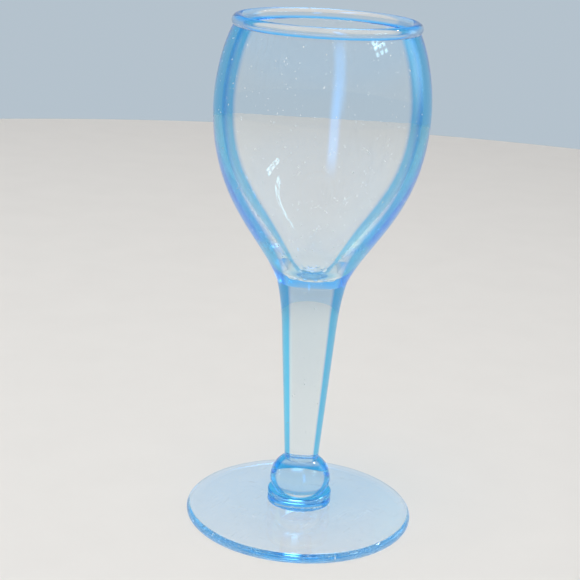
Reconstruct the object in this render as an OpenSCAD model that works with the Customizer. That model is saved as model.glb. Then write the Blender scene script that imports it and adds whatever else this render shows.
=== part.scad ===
// Cordial glass: a footed stem glass with a rolled rim, built from its bottom up.
// All lengths are millimetres. +Z is the axis of the glass, and Z = 0 is the table.
// Each piece is a turned solid that meets the next one on a flat, fused seam.

/* [Foot] */
// Diameter of the foot
foot_d = 49.9; // [44:0.1:60]
// Thickness of the foot at its rounded edge
foot_edge_h = 2.2; // [1.6:0.1:3]
// Height of the foot under the collar
foot_seat_h = 3.6; // [3.2:0.1:6]
// Rise of the hollow under the foot at its centre
foot_hollow_h = 0.9; // [0.4:0.1:1.2]
// Width of the flat ring that the glass rests on
foot_rest_w = 1.2; // [0.8:0.1:3]

/* [Collar] */
// How far the collar stands out around the seat of the knop
collar_lip = 1.2; // [0.8:0.1:3]
// Height of the collar
collar_h = 2.6; // [1.6:0.1:5]
// Radius of the collar's rounded top edge
collar_edge_r = 0.45; // [0.2:0.05:0.7]

/* [Knop] */
// Diameter of the ball-shaped knop
knop_d = 13.3; // [11:0.1:18]
// How far the knop draws in at its seat on the collar
knop_undercut = 0.8; // [0.4:0.1:1.8]
// Height of the knop between its two seams
knop_h = 7.55; // [6:0.05:12]

/* [Stem] */
// Diameter of the stem's neck, where it meets the knop
neck_d = 7.45; // [6:0.05:9]
// Length of the stem between its two seams
stem_h = 40.75; // [30:0.25:70]
// Diameter of the stem where its flare starts
flare_d = 11.8; // [10:0.1:13.5]
// Height of the flare under the bowl
flare_h = 10.5; // [6:0.5:16]
// Lean of the stem's side where it meets the bowl, in degrees
flare_angle = 14; // [8:1:24]

/* [Bowl] */
// Diameter of the seam between stem and bowl
bowl_seat_d = 15; // [13.6:0.1:18]
// Height of the bowl from that seam to the top of the rim
bowl_h = 55.5; // [48:0.5:66]
// Largest diameter of the bowl
bowl_d = 45; // [41:0.1:52]
// Height of the widest part above the seam
belly_h = 37.1; // [32:0.1:42]
// Lean of the bowl's side where it leaves the stem, in degrees
bowl_foot_angle = 22.5; // [16:0.5:28]
// Lean of the wall where it draws in to the rim, in degrees
lip_angle = 26; // [14:1:34]

/* [Cavity] */
// Wall at the widest part of the bowl
belly_wall = 1.75; // [1.2:0.05:2.4]
// Thickness of glass under the middle of the cavity
base_t = 2; // [1.2:0.1:4]
// Radius of the rounded bottom of the cavity
floor_r = 7; // [5:0.1:8]
// Lean of the cavity's side where the rounded bottom ends, in degrees
floor_angle = 38; // [32:1:44]

/* [Dimples] */
// Number of dimples in the floor of the cavity
dimple_count = 10; // [6:1:12]
// Radius of the ring that the dimples lie on
dimple_ring_r = 2.8; // [2.6:0.1:3.4]
// Width of a dimple
dimple_w = 1.2; // [0.6:0.1:1.3]
// Depth of a dimple in the glass
dimple_depth = 0.3; // [0.15:0.05:0.4]
// Turn of the first dimple from the +X axis, in degrees
dimple_turn = -6; // [-18:1:18]

/* [Rim] */
// Outside diameter of the rolled rim
rim_d = 38.9; // [35:0.1:42]
// Thickness of the rolled rim
bead_d = 2.5; // [2:0.05:3.4]
// Thickness of the wall where it meets the rolled rim
lip_wall = 1.73; // [1.2:0.05:1.9]

/* [Hidden] */

$fn = 128;
curve_steps = 18;
edge_steps = 8;
ball_sides = 48;
glass_tint = [0.80, 0.90, 0.95, 0.55];

// Shares of a curve's span that its two handles reach
foot_top_shares = [0.47, 0.30];
foot_rise_share = 0.36;
flare_shares = [0.33, 0.33];
bowl_lower_shares = [0.294, 0.547];
bowl_upper_shares = [0.30, 0.308];
cavity_lower_shares = [0.491, 0.389];

// Radii
foot_r = foot_d / 2;
foot_edge_r = foot_edge_h / 2;
knop_r = knop_d / 2;
knop_seat_r = knop_r - knop_undercut;
collar_r = knop_seat_r + collar_lip;
neck_r = neck_d / 2;
flare_r = flare_d / 2;
bowl_seat_r = bowl_seat_d / 2;
belly_r = bowl_d / 2;
bead_r = bead_d / 2;
bead_ring_r = rim_d / 2 - bead_r;
lip_out_r = bead_ring_r + lip_wall / 2;
lip_in_r = bead_ring_r - lip_wall / 2;

// Heights of the seams above the table
collar_z = foot_seat_h;
knop_z = collar_z + collar_h;
stem_z = knop_z + knop_h;
bowl_z = stem_z + stem_h;
rim_top_z = bowl_z + bowl_h;
bead_z = rim_top_z - bead_r;
lip_z = bead_z - sqrt(pow(bead_r, 2) - pow(lip_wall / 2, 2));
belly_z = bowl_z + belly_h;
floor_z = bowl_z + base_t;

// A point at a lean from the vertical, at a distance from the origin
function lean(angle, distance) = distance * [sin(angle), cos(angle)];

// Points of a cubic curve, from step `first` on
function curve(p, first = 0) = [
    for (i = [first:curve_steps])
        let (t = i / curve_steps, u = 1 - t)
            pow(u, 3) * p[0] + 3 * pow(u, 2) * t * p[1] + 3 * u * pow(t, 2) * p[2] + pow(t, 3) * p[3]
];

// Points of an arc round a centre, from step `first` on
function arc(centre, radius, from, to, steps, first = 0) = [
    for (i = [first:steps])
        let (a = from + (to - from) * i / steps)
            centre + radius * [cos(a), sin(a)]
];

module turned(points) {
    color(glass_tint)
        rotate_extrude()
            polygon(points);
}

// Foot: a thin disc with a bullnose edge, a flat ring to rest on and a shallow domed hollow
rest_out_r = foot_r - foot_edge_r;
rest_in_r = rest_out_r - foot_rest_w;
hollow_r = (pow(rest_in_r, 2) + pow(foot_hollow_h, 2)) / (2 * foot_hollow_h);
hollow_half_angle = asin(rest_in_r / hollow_r);
foot_span = rest_out_r - collar_r;
foot_rise = foot_seat_h - foot_edge_h;

module foot() {
    underside = arc([0, foot_hollow_h - hollow_r], hollow_r, 90, 90 - hollow_half_angle, edge_steps);
    edge = arc([rest_out_r, foot_edge_r], foot_edge_r, -90, 90, edge_steps);
    top = curve([
        [rest_out_r, foot_edge_h],
        [rest_out_r - foot_top_shares[0] * foot_span, foot_edge_h + foot_rise_share * foot_rise],
        [collar_r + foot_top_shares[1] * foot_span, foot_seat_h],
        [collar_r, foot_seat_h]
    ], first = 1);
    turned(concat(underside, edge, top, [[0, foot_seat_h]]));
}

// Collar: an upright pad with a softened top edge, between foot and knop
module collar() {
    edge_centre = [collar_r - collar_edge_r, knop_z - collar_edge_r];
    turned(concat(
        [[0, collar_z], [collar_r, collar_z]],
        arc(edge_centre, collar_edge_r, 0, 90, edge_steps),
        [[0, knop_z]]
    ));
}

// Knop: a slightly flattened ball, cut flat by its two seams
knop_seat_share = sqrt(1 - pow(knop_seat_r / knop_r, 2));
knop_neck_share = sqrt(1 - pow(neck_r / knop_r, 2));
knop_half_h = knop_h / (knop_seat_share + knop_neck_share);
knop_centre_z = knop_z + knop_seat_share * knop_half_h;

module knop() {
    ball = [
        for (a = arc([0, 0], 1, -asin(knop_seat_share), asin(knop_neck_share), curve_steps))
            [knop_r * a.x, knop_centre_z + knop_half_h * a.y]
    ];
    turned(concat([[0, knop_z]], ball, [[0, stem_z]]));
}

// Stem: a solid rod that widens straight from its neck, then flares into the bowl
flare_z = bowl_z - flare_h;
taper_angle = atan((flare_r - neck_r) / (flare_z - stem_z));

module stem() {
    flare = curve([
        [flare_r, flare_z],
        [flare_r, flare_z] + lean(taper_angle, flare_shares[0] * flare_h),
        [bowl_seat_r, bowl_z] - lean(flare_angle, flare_shares[1] * flare_h),
        [bowl_seat_r, bowl_z]
    ]);
    turned(concat([[0, stem_z], [neck_r, stem_z]], flare, [[0, bowl_z]]));
}

// Bowl: an egg-shaped wall over a thick base, with a ring of dimples in its round-bottomed cavity
belly_in_r = belly_r - belly_wall;
floor_end = [0, floor_z + floor_r] + floor_r * [cos(floor_angle), -sin(floor_angle)];
upper_h = lip_z - belly_z;
cavity_h = belly_z - floor_end.y;

// A dimple is the mark of a ball pressed square into the rounded floor
dimple_cap_h = dimple_depth + floor_r - sqrt(pow(floor_r, 2) - pow(dimple_w / 2, 2));
dimple_ball_r = (pow(dimple_w / 2, 2) + pow(dimple_cap_h, 2)) / (2 * dimple_cap_h);
dimple_lean = asin(dimple_ring_r / floor_r);

module dimple_balls() {
    for (i = [0:dimple_count - 1])
        translate([0, 0, floor_z + floor_r])
            rotate([0, -dimple_lean, dimple_turn + 360 * i / dimple_count])
                translate([0, 0, dimple_ball_r - dimple_depth - floor_r])
                    sphere(dimple_ball_r, $fn = ball_sides);
}

module bowl_wall() {
    outside_lower = curve([
        [bowl_seat_r, bowl_z],
        [bowl_seat_r, bowl_z] + lean(bowl_foot_angle, bowl_lower_shares[0] * belly_h),
        [belly_r, belly_z - bowl_lower_shares[1] * belly_h],
        [belly_r, belly_z]
    ]);
    outside_upper = curve([
        [belly_r, belly_z],
        [belly_r, belly_z + bowl_upper_shares[0] * upper_h],
        [lip_out_r, lip_z] + lean(180 - lip_angle, bowl_upper_shares[1] * upper_h),
        [lip_out_r, lip_z]
    ], first = 1);
    inside_upper = curve([
        [lip_in_r, lip_z],
        [lip_in_r, lip_z] + lean(180 - lip_angle, bowl_upper_shares[1] * upper_h),
        [belly_in_r, belly_z + bowl_upper_shares[0] * upper_h],
        [belly_in_r, belly_z]
    ]);
    inside_lower = curve([
        [belly_in_r, belly_z],
        [belly_in_r, belly_z - cavity_lower_shares[0] * cavity_h],
        floor_end + lean(floor_angle, cavity_lower_shares[1] * cavity_h),
        floor_end
    ], first = 1);
    cavity_floor = arc([0, floor_z + floor_r], floor_r, -floor_angle, -90, edge_steps, first = 1);
    turned(concat(
        [[0, bowl_z]],
        outside_lower,
        outside_upper,
        inside_upper,
        inside_lower,
        cavity_floor
    ));
}

module bowl() {
    difference() {
        bowl_wall();
        dimple_balls();
    }
}

// Rim bead: the rolled edge, a ring of round glass that sits flat on the top of the wall
bead_seam_angle = asin((bead_z - lip_z) / bead_r);

module rim_bead() {
    turned(arc([bead_ring_r, bead_z], bead_r, -bead_seam_angle, 180 + bead_seam_angle, 3 * edge_steps));
}

foot();
collar();
knop();
stem();
bowl();
rim_bead();
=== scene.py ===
import math

import bmesh
import bpy
import numpy as np
from mathutils import Matrix, Vector


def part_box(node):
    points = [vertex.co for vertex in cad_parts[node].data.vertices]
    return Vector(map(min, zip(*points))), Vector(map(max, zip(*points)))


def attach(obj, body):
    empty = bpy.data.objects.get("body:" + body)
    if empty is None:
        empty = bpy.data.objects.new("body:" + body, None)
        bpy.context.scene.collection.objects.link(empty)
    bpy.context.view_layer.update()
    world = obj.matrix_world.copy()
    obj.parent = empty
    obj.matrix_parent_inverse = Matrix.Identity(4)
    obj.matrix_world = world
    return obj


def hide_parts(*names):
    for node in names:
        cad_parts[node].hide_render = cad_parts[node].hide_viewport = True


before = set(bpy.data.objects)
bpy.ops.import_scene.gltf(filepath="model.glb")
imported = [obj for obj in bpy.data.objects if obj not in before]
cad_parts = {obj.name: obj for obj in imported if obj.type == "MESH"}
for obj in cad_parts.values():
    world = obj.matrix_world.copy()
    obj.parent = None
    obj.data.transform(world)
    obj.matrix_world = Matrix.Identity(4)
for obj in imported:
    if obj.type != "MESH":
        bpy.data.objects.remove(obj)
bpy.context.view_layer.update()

# Everything is in metres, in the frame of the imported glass: Z is its axis and it stands at height 0.


# Shader maths

class Wire:
    # a socket of a node tree, so that sums on it read as Python
    def __init__(self, paint, socket):
        self.paint = paint
        self.socket = socket

    def maths(self, operation, *values):
        sockets = dict(enumerate(values))
        return self.paint.node("ShaderNodeMath", {"operation": operation}, sockets)

    def __add__(self, other):
        return self.maths("ADD", self, other)

    def __radd__(self, other):
        return self.maths("ADD", other, self)

    def __sub__(self, other):
        return self.maths("SUBTRACT", self, other)

    def __rsub__(self, other):
        return self.maths("SUBTRACT", other, self)

    def __mul__(self, other):
        return self.maths("MULTIPLY", self, other)

    def __rmul__(self, other):
        return self.maths("MULTIPLY", other, self)

    def above(self, level, width):
        # 0 below the level, rising to 1 over the width
        sockets = {"Value": self, "From Min": level, "From Max": level + width}
        return self.paint.node("ShaderNodeMapRange", {"interpolation_type": "SMOOTHSTEP"}, sockets)


class Paint:
    # a material or world, and the nodes that it gets
    def __init__(self, owner):
        owner.use_nodes = True
        self.owner = owner
        self.tree = owner.node_tree
        self.tree.nodes.clear()

    def node(self, kind, settings=None, sockets=None, output=0):
        made = self.tree.nodes.new(kind)
        for key, value in (settings or {}).items():
            setattr(made, key, value)
        for key, value in (sockets or {}).items():
            if isinstance(value, Wire):
                self.tree.links.new(value.socket, made.inputs[key])
            else:
                made.inputs[key].default_value = value
        return Wire(self, made.outputs[output]) if made.outputs else made

    def mix(self, share, first, second):
        # colours only: share 0 gives the first and 1 the second
        return self.node("ShaderNodeMix", {"data_type": "RGBA"}, {0: share, 6: first, 7: second}, 2)

    def noise(self, place, scale, detail=2.0, seedAt=0.0, stretch=(1, 1, 1)):
        moved = self.node(
            "ShaderNodeMapping",
            None,
            {"Vector": place, "Location": (seedAt, seedAt, seedAt), "Scale": stretch},
        )
        return self.node("ShaderNodeTexNoise", None, {"Vector": moved, "Scale": scale, "Detail": detail})


# Outlines and turned meshes

turning = {
    "steps": 280,          # faces round the axis
    "seamGap": 0.00001,    # each piece stops this far short of its seams
    "creaseAngle": 32,     # degrees, above which an edge is drawn sharp
    "onAxis": 0.0000001,   # a row nearer the axis than this is one point
    "waver": 0.000016,     # how far hand-warmed glass wanders from a true circle
    "waverRadius": 0.004,  # nearer the axis than this it wanders less
    "waves": [             # share, waves round, radians a metre up, start
        (1.0, 2, 61, 0.0),
        (1.0, 3, -97, 1.3),
        (0.6, 5, 210, 0.4),
        (0.35, 9, -330, 2.2),
    ],
}


def curvePoints(points, steps, first=1):
    a, b, c, d = (np.array(p) for p in points)
    t = (np.arange(first, steps + 1) / steps)[:, None]
    u = 1 - t
    return u**3 * a + 3 * u**2 * t * b + 3 * u * t**2 * c + t**3 * d


def arcPoints(centre, radius, start, end, steps, first=0):
    angle = np.radians(start + (end - start) * np.arange(first, steps + 1) / steps)
    return np.array(centre) + radius * np.stack([np.cos(angle), np.sin(angle)], 1)


def leaning(degrees, distance):
    return distance * np.array([math.sin(math.radians(degrees)), math.cos(math.radians(degrees))])


def addRun(rows, points, fused=False):
    # fused marks the faces that lie in a seam
    for radius, height in points:
        rows.append((float(radius), float(height), fused))


def waverAt(radius, height, angle):
    # slow waves round and up the glass, which leave the axis and the seams' heights alone
    waves = turning["waves"]
    wave = sum(share * np.sin(count * angle + climb * height + start) for share, count, climb, start in waves)
    whole = sum(share for share, *_ in waves)
    return -turning["waver"] * min(radius / turning["waverRadius"], 1) * (wave / whole + 1) / 2


def turnPiece(name, rows, ring=False, press=None):
    # spins (radius, height, fused) rows about Z; a ring closes on itself and press dents it
    count = turning["steps"]
    angle = 2 * math.pi * np.arange(count) / count
    verts, loops, used = [], [], 0
    for radius, height, _ in rows:
        if radius < turning["onAxis"]:
            verts.append(np.array([[0.0, 0.0, height]]))
            loops.append(np.full(count, used))
            used += 1
            continue
        radii = radius + waverAt(radius, height, angle)
        heights = np.full(count, height)
        if press is not None:
            radii, heights = press(radii, heights, angle)
        verts.append(np.stack([radii * np.cos(angle), radii * np.sin(angle), heights], 1))
        loops.append(used + np.arange(count))
        used += count
    pairs = [(k, k + 1) for k in range(len(rows) - 1)] + ([(len(rows) - 1, 0)] if ring else [])
    faces, openShare = [], []
    for first, second in pairs:
        a, b = loops[first], loops[second]
        a2, b2 = np.roll(a, -1), np.roll(b, -1)
        if a[0] == a[1]:
            corners = (a, b2, b)
        elif b[0] == b[1]:
            corners = (a, a2, b)
        else:
            corners = (a, a2, b2, b)
        faces.extend(np.stack(corners, 1).tolist())
        openShare.extend([0.0 if rows[second][2] else 1.0] * count)
    mesh = bpy.data.meshes.new(name)
    mesh.from_pydata(np.concatenate(verts).tolist(), [], faces)
    shares = mesh.attributes.new("openShare", "FLOAT", "FACE")
    shares.data.foreach_set("value", openShare)
    mesh.shade_smooth()
    mesh.set_sharp_from_angle(angle=math.radians(turning["creaseAngle"]))
    piece = bpy.data.objects.new(name, mesh)
    bpy.context.scene.collection.objects.link(piece)
    return piece


def placePiece(piece, node, material):
    piece.data.materials.append(material)
    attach(piece, "root")
    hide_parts(node)
    print("made", piece.name, len(piece.data.polygons), "faces")
    return piece


def measureNodes():
    # radius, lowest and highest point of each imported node
    corners = {node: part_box(node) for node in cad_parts}
    return {node: (high.x, low.z, high.z) for node, (low, high) in corners.items()}


nodeSize = measureNodes()


# Glass

glassLook = {
    "index": 1.52,
    "faceTint": (0.985, 0.995, 1.0, 1),      # what a face lets through, seen square on
    # the tint at grazing faces is painted light: a blue in place of the blue light that the glass refracts at
    # its edges
    "paintedEdgeTint": (0.02, 0.42, 0.96, 1),       # and seen along it
    "edgeWidth": 0.10,
    "bodyColour": (0.16, 0.70, 0.94, 1),     # what a thick body of it lets through
    "bodyDensity": 18.0,
    "shadowTint": (0.985, 0.99, 1.0, 1),     # what a face leaves of a lamp's light behind it
    "waveScale": 240,
    "waveBump": 0.00002,
    "bumpStrength": 0.35,
}

# scales are per metre, and levels run from 0 to 1: a higher one leaves less of the mark
wear = {
    "smudgeScale": 90,
    "smudgeLevel": 0.52,
    "streakScale": 700,
    "streakLevel": 0.50,
    "smudgeRough": 0.05,
    "smudgeVeil": 0.10,        # how milky a smudge looks
    "scratchTurn": 0.55,       # radians, so that the scratches follow no axis
    "scratchScales": (2300, 1900),
    "scratchLevels": (0.66, 0.69),
    "wornScale": 130,
    "wornLevel": 0.50,
    "scratchBump": 0.3,
    "scratchVeil": 0.22,
    "dustScale": 900,
    "dustSize": 0.10,
    "dustPatchScale": 420,
    "dustLevel": 0.57,
    "dustColour": (0.55, 0.57, 0.58, 1),
    "dustRough": 0.8,
    "paintedDustGlowColour": (0.88, 0.94, 1.0, 1),
    "paintedDustGlow": 0.38,          # painted glow: emission in place of light that comes through a speck from behind
}


def smudgeFilm(paint, place):
    patches = paint.noise(place, wear["smudgeScale"], 3).above(wear["smudgeLevel"], 0.2)
    streaks = paint.noise(place, wear["streakScale"], 2, 3.1, (1, 1, 0.12)).above(wear["streakLevel"], 0.25)
    return patches * streaks


def scratchLines(paint, place):
    # two sets that cross, and only where the glass is worn
    turned = paint.node(
        "ShaderNodeVectorRotate",
        {"rotation_type": "Z_AXIS"},
        {"Vector": place, "Angle": wear["scratchTurn"]},
    )
    (upScale, acrossScale), (upLevel, acrossLevel) = wear["scratchScales"], wear["scratchLevels"]
    up = paint.noise(turned, upScale, 1, 5.3, (1, 0.06, 1)).above(upLevel, 0.05)
    across = paint.noise(turned, acrossScale, 1, 8.1, (0.10, 1, 1)).above(acrossLevel, 0.05)
    worn = paint.noise(place, wear["wornScale"], 2, 6.6).above(wear["wornLevel"], 0.12)
    return (up + across) * worn


def dustDots(paint, place):
    cells = paint.node(
        "ShaderNodeTexVoronoi",
        {"feature": "F1"},
        {"Vector": place, "Scale": wear["dustScale"]},
        "Distance",
    )
    chosen = paint.noise(place, wear["dustPatchScale"], 2, 9.4).above(wear["dustLevel"], 0.03)
    return (1 - cells.above(wear["dustSize"], 0.06)) * chosen


def makeGlass(name, edgeStart, edgeShare, smudges, specks, scratches):
    # edgeStart is how far over a face leans before it takes the painted blue edge tint, and edgeShare how
    # much of it
    # smudges, specks and scratches are 0 to 1, for how much of each the piece has picked up
    look = glassLook
    paint = Paint(bpy.data.materials.new(name))
    place = paint.node("ShaderNodeTexCoord", None, None, "Object")
    openShare = paint.node("ShaderNodeAttribute", {"attribute_name": "openShare"}, None, "Fac")

    # painted blue edges: faces seen at a slant take the edge tint, in place of light refracted there
    facing = paint.node("ShaderNodeLayerWeight", None, {"Blend": 0.5}, "Facing")
    edge = facing.above(edgeStart, look["edgeWidth"]) * edgeShare
    faceAndPaintedEdgeTint = paint.mix(edge, look["faceTint"], look["paintedEdgeTint"])
    film = smudgeFilm(paint, place) * smudges
    scores = scratchLines(paint, place) * scratches
    dots = dustDots(paint, place) * specks
    waves = paint.noise(place, look["waveScale"], 1.5, 1.7, (1, 1, 0.45))
    relief = paint.node(
        "ShaderNodeBump",
        None,
        {
            "Strength": look["bumpStrength"],
            "Distance": look["waveBump"],
            "Height": waves + scores * wear["scratchBump"],
        },
    )
    clear = paint.node(
        "ShaderNodeBsdfPrincipled",
        None,
        {
            "Base Color": faceAndPaintedEdgeTint,
            "Roughness": film * wear["smudgeRough"],
            "IOR": look["index"],
            "Transmission Weight": 1.0,
            "Alpha": openShare,
            "Normal": relief,
        },
    )
    # specks, scratches and smudges use this shader, with a painted glow: a constant emission stands in for
    # light coming through them from behind, so a mark on a far face is never black
    dustWithPaintedGlow = paint.node(
        "ShaderNodeBsdfPrincipled",
        None,
        {
            "Base Color": wear["dustColour"],
            "Roughness": wear["dustRough"],
            "Emission Color": wear["paintedDustGlowColour"],
            "Emission Strength": wear["paintedDustGlow"],
            "Alpha": openShare,
        },
    )
    marks = dots + scores * wear["scratchVeil"] + film * wear["smudgeVeil"]
    solid = paint.node("ShaderNodeMixShader", None, {0: marks, 1: clear, 2: dustWithPaintedGlow})
    lampRay = paint.node("ShaderNodeLightPath", None, None, "Is Shadow Ray")
    floorRay = paint.node("ShaderNodeLightPath", None, None, "Is Diffuse Ray")
    passed = paint.node("ShaderNodeBsdfTransparent", None, {"Color": look["shadowTint"]})
    seen = paint.node("ShaderNodeMixShader", None, {0: floorRay, 1: solid, 2: passed})
    body = paint.node("ShaderNodeMixShader", None, {0: lampRay, 1: seen, 2: passed})
    inside = paint.node(
        "ShaderNodeVolumeAbsorption",
        None,
        {"Color": look["bodyColour"], "Density": look["bodyDensity"]},
    )
    paint.node("ShaderNodeOutputMaterial", None, {"Surface": body, "Volume": inside})
    return paint.owner


# Foot

footShape = {
    "edgeHeight": 0.0022,      # of the bullnose edge
    "restWidth": 0.0012,       # of the flat ring that it stands on
    "hollowHeight": 0.0009,    # of the dome under it
    "topShares": (0.47, 0.30),
    "riseShare": 0.36,
    "steps": 60,
    "edgeSteps": 20,
    "glass": {"edgeStart": 0.72, "edgeShare": 1, "smudges": 0.6, "specks": 1, "scratches": 1},
}


def makeFoot():
    shape = footShape
    radius, _, seat = nodeSize["foot"]
    collarRadius = nodeSize["collar"][0]
    nose = shape["edgeHeight"] / 2
    restOut = radius - nose
    restIn = restOut - shape["restWidth"]
    dome = (restIn**2 + shape["hollowHeight"]**2) / (2 * shape["hollowHeight"])
    domeAngle = math.degrees(math.asin(restIn / dome))
    span = restOut - collarRadius
    rise = seat - shape["edgeHeight"]
    out, into = shape["topShares"]
    rows = []
    addRun(rows, arcPoints((0, shape["hollowHeight"] - dome), dome, 90, 90 - domeAngle, shape["steps"]))
    addRun(rows, arcPoints((restOut, nose), nose, -90, 90, shape["edgeSteps"]))
    top = [
        (restOut, shape["edgeHeight"]),
        (restOut - out * span, shape["edgeHeight"] + shape["riseShare"] * rise),
        (collarRadius + into * span, seat - turning["seamGap"]),
        (collarRadius, seat - turning["seamGap"]),
    ]
    addRun(rows, curvePoints(top, shape["steps"]))
    addRun(rows, [(0, seat - turning["seamGap"])], True)
    return placePiece(turnPiece("footDisc", rows), "foot", makeGlass("footGlass", **shape["glass"]))


# Collar

collarShape = {
    "edgeRadius": 0.00045,
    "sideSteps": 10,
    "edgeSteps": 12,
    "glass": {"edgeStart": 0.35, "edgeShare": 1, "smudges": 0.3, "specks": 0.4, "scratches": 0},
}


def makeCollar():
    shape = collarShape
    radius, low, high = nodeSize["collar"]
    low += turning["seamGap"]
    high -= turning["seamGap"]
    edge = shape["edgeRadius"]
    seatRadius = radius - knopShape["collarLip"]
    rows = []
    addRun(rows, [(0, low)])
    addRun(rows, [(radius, low)], True)
    for i in range(1, shape["sideSteps"]):
        addRun(rows, [(radius, low + (high - edge - low) * i / shape["sideSteps"])])
    addRun(rows, arcPoints((radius - edge, high - edge), edge, 0, 90, shape["edgeSteps"]))
    addRun(rows, [(seatRadius, high)])
    addRun(rows, [(0, high)], True)
    return placePiece(turnPiece("collarPad", rows), "collar", makeGlass("collarGlass", **shape["glass"]))


# Knop

knopShape = {
    "collarLip": 0.0012,       # the collar stands out this far round the knop's seat
    "neckRadius": 0.003725,
    "steps": 72,
    "glass": {"edgeStart": 0.35, "edgeShare": 1, "smudges": 0.2, "specks": 0.3, "scratches": 0},
}


def makeKnop():
    shape = knopShape
    radius, low, high = nodeSize["knop"]
    seatRadius = nodeSize["collar"][0] - shape["collarLip"]
    seatShare = math.sqrt(1 - (seatRadius / radius)**2)
    neckShare = math.sqrt(1 - (shape["neckRadius"] / radius)**2)
    half = (high - low) / (seatShare + neckShare)
    middle = low + seatShare * half
    low += turning["seamGap"]
    high -= turning["seamGap"]
    start = math.degrees(math.asin((low - middle) / half))
    end = math.degrees(math.asin((high - middle) / half))
    ball = arcPoints((0, 0), 1, start, end, shape["steps"]) * np.array([radius, half])
    ball[:, 1] += middle
    rows = []
    addRun(rows, [(0, low)])
    addRun(rows, ball[:1], True)
    addRun(rows, ball[1:])
    addRun(rows, [(0, high)], True)
    return placePiece(turnPiece("knopBall", rows), "knop", makeGlass("knopGlass", **shape["glass"]))


# Stem

stemShape = {
    "flareRadius": 0.0059,     # where the flare starts
    "flareHeight": 0.0105,
    "flareAngle": 14,          # degrees, the side's lean at the bowl
    "flareShares": (0.33, 0.33),
    "rodSteps": 40,
    "flareSteps": 28,
    "glass": {"edgeStart": 0.30, "edgeShare": 1, "smudges": 0.4, "specks": 0.4, "scratches": 0},
}


def makeStem():
    shape = stemShape
    seatRadius, low, high = nodeSize["stem"]
    neck = knopShape["neckRadius"]
    flareLow = high - shape["flareHeight"]
    taper = math.degrees(math.atan((shape["flareRadius"] - neck) / (flareLow - low)))
    start = np.array([shape["flareRadius"], flareLow])
    end = np.array([seatRadius, high - turning["seamGap"]])
    flare = [
        start,
        start + leaning(taper, shape["flareShares"][0] * shape["flareHeight"]),
        end - leaning(shape["flareAngle"], shape["flareShares"][1] * shape["flareHeight"]),
        end,
    ]
    foot = np.array([neck, low + turning["seamGap"]])
    rows = []
    addRun(rows, [(0, foot[1])])
    addRun(rows, [foot], True)
    addRun(rows, [foot + (start - foot) * i / shape["rodSteps"] for i in range(1, shape["rodSteps"] + 1)])
    addRun(rows, curvePoints(flare, shape["flareSteps"]))
    addRun(rows, [(0, end[1])], True)
    return placePiece(turnPiece("stemRod", rows), "stem", makeGlass("stemGlass", **shape["glass"]))


# Bowl

bowlShape = {
    "bellyHeight": 0.0371,     # above the seam with the stem
    "footAngle": 22.5,         # degrees, the side's lean at the seam
    "lipAngle": 26,            # degrees, the wall's lean at the rim
    "lowerShares": (0.294, 0.547),
    "upperShares": (0.30, 0.308),
    "bellyWall": 0.00175,
    "lipWall": 0.00173,
    "baseThickness": 0.002,
    "floorRadius": 0.007,
    "floorAngle": 38,          # degrees from the vertical, where the rounded floor ends
    "cavityShares": (0.491, 0.389),
    "steps": 70,
    "floorSteps": 90,
    "glass": {"edgeStart": 0.47, "edgeShare": 1, "smudges": 1, "specks": 1, "scratches": 0},
}

dimpleShape = {
    "count": 10,
    "ringRadius": 0.0028,
    "width": 0.0012,
    "depth": 0.0003,
    "turn": -6,                # degrees, the first one's turn from the X axis
    "softRim": 0.00003,        # the fire has rounded their rims by about this much
    "least": 0.0000015,        # a shallower dent than this is left out
}


def pressDimples(radii, heights, angle):
    # a ring of round dents, each the mark of a ball pressed square into the cavity's rounded floor
    shape = dimpleShape
    curve = bowlShape["floorRadius"]
    low, high = bowlFloorHeights()
    if not low - shape["least"] < heights[0] < high:
        return radii, heights
    half = shape["width"] / 2
    cap = shape["depth"] + curve - math.sqrt(curve**2 - half**2)
    ball = (half**2 + cap**2) / (2 * cap)
    reach = curve + shape["depth"] - ball
    lean = math.asin(shape["ringRadius"] / curve)
    pitch = 2 * math.pi / shape["count"]
    first = math.radians(shape["turn"])
    nearest = first + np.round((angle - first) / pitch) * pitch
    drop = low + curve - heights
    length = np.hypot(radii, drop)
    along = (radii * np.cos(angle - nearest) * math.sin(lean) + drop * math.cos(lean)) / length
    apart = reach**2 * (1 - along**2)
    pressed = reach * along + np.sqrt(np.maximum(ball**2 - apart, 0)) - curve
    depth = np.where(apart < ball**2, pressed, -half)
    depth = (depth + np.sqrt(depth**2 + shape["softRim"]**2)) / 2
    depth = np.where(depth > shape["least"], depth, 0)
    grown = 1 + depth / length
    return radii * grown, low + curve - drop * grown


def bowlFloorHeights():
    low = nodeSize["bowl"][1] + bowlShape["baseThickness"]
    return low, low + bowlShape["floorRadius"] / 2


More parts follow.
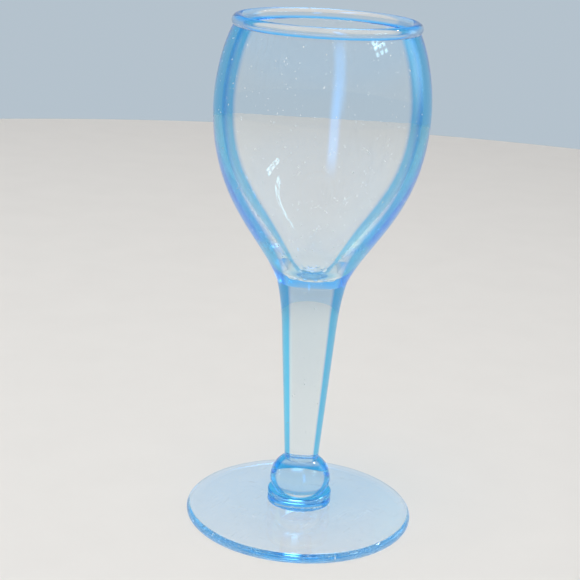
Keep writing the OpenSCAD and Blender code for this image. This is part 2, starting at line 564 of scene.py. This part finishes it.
def makeBowl():
    shape = bowlShape
    radius, low, high = nodeSize["bowl"]
    gap = turning["seamGap"]
    seat = np.array([nodeSize["stem"][0], low + gap])
    ringRadius = nodeSize["rim_bead"][0] - beadThickness() / 2
    lipOut = np.array([ringRadius + shape["lipWall"] / 2, high - gap])
    lipIn = np.array([ringRadius - shape["lipWall"] / 2, high - gap])
    bellyHeight = low + shape["bellyHeight"]
    upper = high - bellyHeight
    belly = np.array([radius, bellyHeight])
    bellyIn = belly - np.array([shape["bellyWall"], 0])
    floorCentre = np.array([0, low + shape["baseThickness"] + shape["floorRadius"]])
    turnAngle = math.radians(shape["floorAngle"])
    floorEnd = floorCentre + shape["floorRadius"] * np.array([math.cos(turnAngle), -math.sin(turnAngle)])
    cavity = bellyHeight - floorEnd[1]
    rise = np.array([0, 1.0])
    start, end = shape["lowerShares"]
    outsideLower = [
        seat,
        seat + leaning(shape["footAngle"], start * shape["bellyHeight"]),
        belly - end * shape["bellyHeight"] * rise,
        belly,
    ]
    start, end = shape["upperShares"]
    back = leaning(180 - shape["lipAngle"], end * upper)
    outsideUpper = [belly, belly + start * upper * rise, lipOut + back, lipOut]
    insideUpper = [lipIn, lipIn + back, bellyIn + start * upper * rise, bellyIn]
    start, end = shape["cavityShares"]
    insideLower = [
        bellyIn,
        bellyIn - start * cavity * rise,
        floorEnd + leaning(shape["floorAngle"], end * cavity),
        floorEnd,
    ]
    rows = []
    addRun(rows, [(0, seat[1])])
    addRun(rows, [seat], True)
    addRun(rows, curvePoints(outsideLower, shape["steps"]))
    addRun(rows, curvePoints(outsideUpper, shape["steps"] // 2))
    addRun(rows, [lipIn], True)
    addRun(rows, curvePoints(insideUpper, shape["steps"] // 2))
    addRun(rows, curvePoints(insideLower, shape["steps"]))
    floor = arcPoints(floorCentre, shape["floorRadius"], -shape["floorAngle"], -90, shape["floorSteps"], 1)
    addRun(rows, floor[:-1])
    addRun(rows, [(0, floor[-1][1])])
    wall = turnPiece("bowlWall", rows, press=pressDimples)
    return placePiece(wall, "bowl", makeGlass("bowlGlass", **shape["glass"]))


# Rim

rimShape = {
    "steps": 60,
    "glass": {"edgeStart": 0.40, "edgeShare": 0.6, "smudges": 0.2, "specks": 0.5, "scratches": 0},
}


def beadThickness():
    # from the bead's height and the wall that it sits on
    _, low, high = nodeSize["rim_bead"]
    height = high - low
    half = bowlShape["lipWall"] / 2
    return (height**2 + half**2) / height


def makeRim():
    radius, low, high = nodeSize["rim_bead"]
    section = beadThickness() / 2
    centre = (radius - section, high - section)
    seam = math.degrees(math.asin((high - section - low - turning["seamGap"]) / section))
    rows = []
    arc = arcPoints(centre, section, -seam, 180 + seam, rimShape["steps"])
    addRun(rows, arc[:1], True)
    addRun(rows, arc[1:])
    bead = turnPiece("rimBead", rows, ring=True)
    return placePiece(bead, "rim_bead", makeGlass("rimGlass", **rimShape["glass"]))


# Studio

studio = {
    "floorColour": (0.76, 0.75, 0.735, 1),
    "floorLift": 1.05,         # how much paler its grain gets
    "floorGrain": 60,
    "floorRough": 0.9,
    "floorReach": 0.48,
    "floorDrop": 0.00003,      # just under the foot, so that the two don't share a face
    "floorSteps": 160,
    "floorRings": 12,
    "wallColour": (0.46, 0.54, 0.61, 1),     # level with the glass and lower
    "skyColour": (0.12, 0.50, 0.92, 1),      # above it, mirrored in the rim, the knop and the foot
    "zenithColour": (0.02, 0.14, 0.42, 1),
    "airColour": (0.45, 0.45, 0.45, 1),      # what the walls and sky give the floor
    "skyRise": (0.03, 0.33),                 # where each colour starts, as a sine, and how far it fades
    "zenithRise": (0.45, 0.45),
    "lampFade": 0.4,                         # of each side of a lamp's pane
    "bounces": 160,
}


def makeFloor():
    steps, rings = studio["floorSteps"], studio["floorRings"]
    work = bmesh.new()
    height = -studio["floorDrop"]
    inner = work.verts.new((0, 0, height))
    previous = None
    for k in range(1, rings + 1):
        reach = studio["floorReach"] * k / rings
        turns = [2 * math.pi * i / steps for i in range(steps)]
        loop = [work.verts.new((reach * math.cos(turn), reach * math.sin(turn), height)) for turn in turns]
        for i in range(steps):
            j = (i + 1) % steps
            if previous is None:
                work.faces.new((inner, loop[i], loop[j]))
            else:
                work.faces.new((previous[i], loop[i], loop[j], previous[j]))
        previous = loop
    mesh = bpy.data.meshes.new("studioFloor")
    work.to_mesh(mesh)
    work.free()
    floor = bpy.data.objects.new("studioFloor", mesh)
    bpy.context.scene.collection.objects.link(floor)
    paint = Paint(bpy.data.materials.new("floorPaint"))
    place = paint.node("ShaderNodeTexCoord", None, None, "Object")
    grain = paint.noise(place, studio["floorGrain"], 4)
    low = studio["floorColour"]
    high = tuple(studio["floorLift"] * x for x in low[:3]) + (1,)
    colour = paint.mix(grain, low, high)
    surface = paint.node(
        "ShaderNodeBsdfPrincipled",
        None,
        {"Base Color": colour, "Roughness": studio["floorRough"], "Specular IOR Level": 0.0},
    )
    paint.node("ShaderNodeOutputMaterial", None, {"Surface": surface})
    floor.data.materials.append(paint.owner)
    print("made the floor")


def fadeLamp(data, colour, panes):
    # each pane is full in its middle and nothing at its border
    paint = Paint(data)
    spot = paint.node("ShaderNodeNewGeometry", None, None, "Parametric")
    fade = 1.0
    for side, count in zip(("X", "Y"), panes):
        share = paint.node("ShaderNodeSeparateXYZ", None, {"Vector": spot}, side)
        if count > 1:
            share = share.maths("FRACT", share * count)
        fade = share.above(0, studio["lampFade"]) * (1 - share).above(0, studio["lampFade"]) * fade
    glow = paint.node("ShaderNodeEmission", None, {"Color": (*colour, 1), "Strength": fade})
    paint.node("ShaderNodeOutputLight", None, {"Surface": glow})


def addLamp(name, place, size, radiance, colour, shows, panes=(1, 1), aim=(0, 0, 0.06)):
    data = bpy.data.lights.new(name, "AREA")
    data.shape = "RECTANGLE"
    data.size, data.size_y = size
    data.energy = radiance * math.pi * size[0] * size[1]
    fadeLamp(data, colour, panes)
    lamp = bpy.data.objects.new(name, data)
    lamp.location = place
    lamp.rotation_euler = (Vector(aim) - Vector(place)).to_track_quat("-Z", "Y").to_euler()
    lamp.visible_camera = False
    lamp.visible_diffuse = shows == "floor"
    lamp.visible_glossy = shows in ("both", "outer")
    lamp.visible_transmission = shows in ("both", "through")
    bpy.context.scene.collection.objects.link(lamp)


def around(azimuth, distance, height):
    # degrees to the right, from straight behind the glass as the camera sees it
    angle = math.radians(azimuth)
    return (distance * math.sin(angle), distance * math.cos(angle), height)


# soft panels: radiance 1 looks as bright as a white floor
# each shows mirrored in the glass's outer faces, through the glass, or both; or it lights the floor
lamps = {
    "panelBack": {
        "place": around(60, 1.0, 0.30),
        "size": (0.6, 0.8),
        "radiance": 2.5,
        "colour": (0.45, 0.80, 1.0),
        "shows": "outer",
    },
    "panelFront": {
        "place": around(163, 0.89, 0.44),
        "size": (0.30, 1.1),
        "radiance": 5.5,
        "colour": (0.04, 0.40, 1.0),
        "shows": "outer",
    },
    "strip": {
        "place": (0.0044, 0.10, 0.066),
        "size": (0.005, 0.042),
        "radiance": 0.40,
        "colour": (0.04, 0.40, 1.0),
        "shows": "through",
    },
    "window": {
        "place": around(109, 0.913, 0.64),
        "size": (0.34, 0.26),
        "radiance": 10.0,
        "colour": (0.58, 0.90, 1.0),
        "shows": "outer",
        "panes": (3, 3),
    },
    "windowInner": {
        "place": around(101, 0.913, 0.60),
        "size": (0.50, 0.07),
        "radiance": 22.0,
        "colour": (0.58, 0.90, 1.0),
        "shows": "through",
        "panes": (3, 2),
    },
    "panelTop": {
        "place": (0.05, 0.45, 0.62),
        "size": (0.30, 0.30),
        "radiance": 9.0,
        "colour": (0.25, 0.62, 1.0),
        "shows": "both",
    },
    "stemGlow": {
        "place": around(43, 0.040, 0.022),
        "size": (0.034, 0.050),
        "radiance": 0.2,
        "colour": (0.0, 1.0, 0.8),
        "shows": "through",
        "aim": (0, 0, 0.022),
    },
    "spark": {
        "place": (0.52, 0.37, 0.68),
        "size": (0.06, 0.06),
        "radiance": 120.0,
        "colour": (1.0, 1.0, 1.0),
        "shows": "outer",
    },
    "softTop": {
        "place": (-0.1, -0.2, 0.95),
        "size": (0.8, 0.8),
        "radiance": 8.4,
        "colour": (1.0, 0.98, 0.95),
        "shows": "floor",
    },
}


def lightStudio():
    world = bpy.data.worlds.new("studioAir")
    bpy.context.scene.world = world
    paint = Paint(world)
    way = paint.node("ShaderNodeTexCoord", None, None, "Generated")
    height = paint.node("ShaderNodeSeparateXYZ", None, {"Vector": way}, "Z")
    colour = paint.mix(height.above(*studio["skyRise"]), studio["wallColour"], studio["skyColour"])
    colour = paint.mix(height.above(*studio["zenithRise"]), colour, studio["zenithColour"])
    floorRay = paint.node("ShaderNodeLightPath", None, None, "Is Diffuse Ray")
    colour = paint.mix(floorRay, colour, studio["airColour"])
    sky = paint.node("ShaderNodeBackground", None, {"Color": colour, "Strength": 1.0})
    paint.node("ShaderNodeOutputWorld", None, {"Surface": sky})
    for name, values in lamps.items():
        addLamp(name, **values)
    print("lit the studio with", len(lamps), "lamps")


# Camera

view = {
    "place": (0, -0.290592, 0.140575),
    "downward": 16.95,     # degrees, as are the next two
    "turn": -0.90,
    "roll": 3.22,
    "focal": 88.09,        # millimetres, as is the sensor's width
    "sensor": 36,
    "nearest": 0.01,
}


def aimCamera():
    down, turn, roll = (math.radians(view[key]) for key in ("downward", "turn", "roll"))
    forward = Vector((math.sin(turn) * math.cos(down), math.cos(turn) * math.cos(down), -math.sin(down)))
    right = Vector((math.cos(turn), -math.sin(turn), 0))
    up = right.cross(forward)
    rolledRight = math.cos(roll) * right + math.sin(roll) * up
    rolledUp = math.cos(roll) * up - math.sin(roll) * right
    data = bpy.data.cameras.new("photoCamera")
    data.sensor_width = view["sensor"]
    data.lens = view["focal"]
    data.clip_start = view["nearest"]
    camera = bpy.data.objects.new("photoCamera", data)
    rows = [(*row, at) for row, at in zip(zip(rolledRight, rolledUp, -forward), view["place"])]
    camera.matrix_world = Matrix(rows + [(0, 0, 0, 1)])
    bpy.context.scene.collection.objects.link(camera)
    bpy.context.scene.camera = camera
    print("aimed the camera")


def setBounces():
    # thick glass passes light through many faces, and a seam takes two more
    cycles = bpy.context.scene.cycles
    cycles.max_bounces = studio["bounces"]
    cycles.transmission_bounces = studio["bounces"]
    cycles.glossy_bounces = studio["bounces"]
    cycles.transparent_max_bounces = studio["bounces"]
    cycles.caustics_refractive = False


makeFoot()
makeCollar()
makeKnop()
makeStem()
makeBowl()
makeRim()
makeFloor()
lightStudio()
aimCamera()
setBounces()
bpy.context.scene.view_settings.view_transform = "Standard"
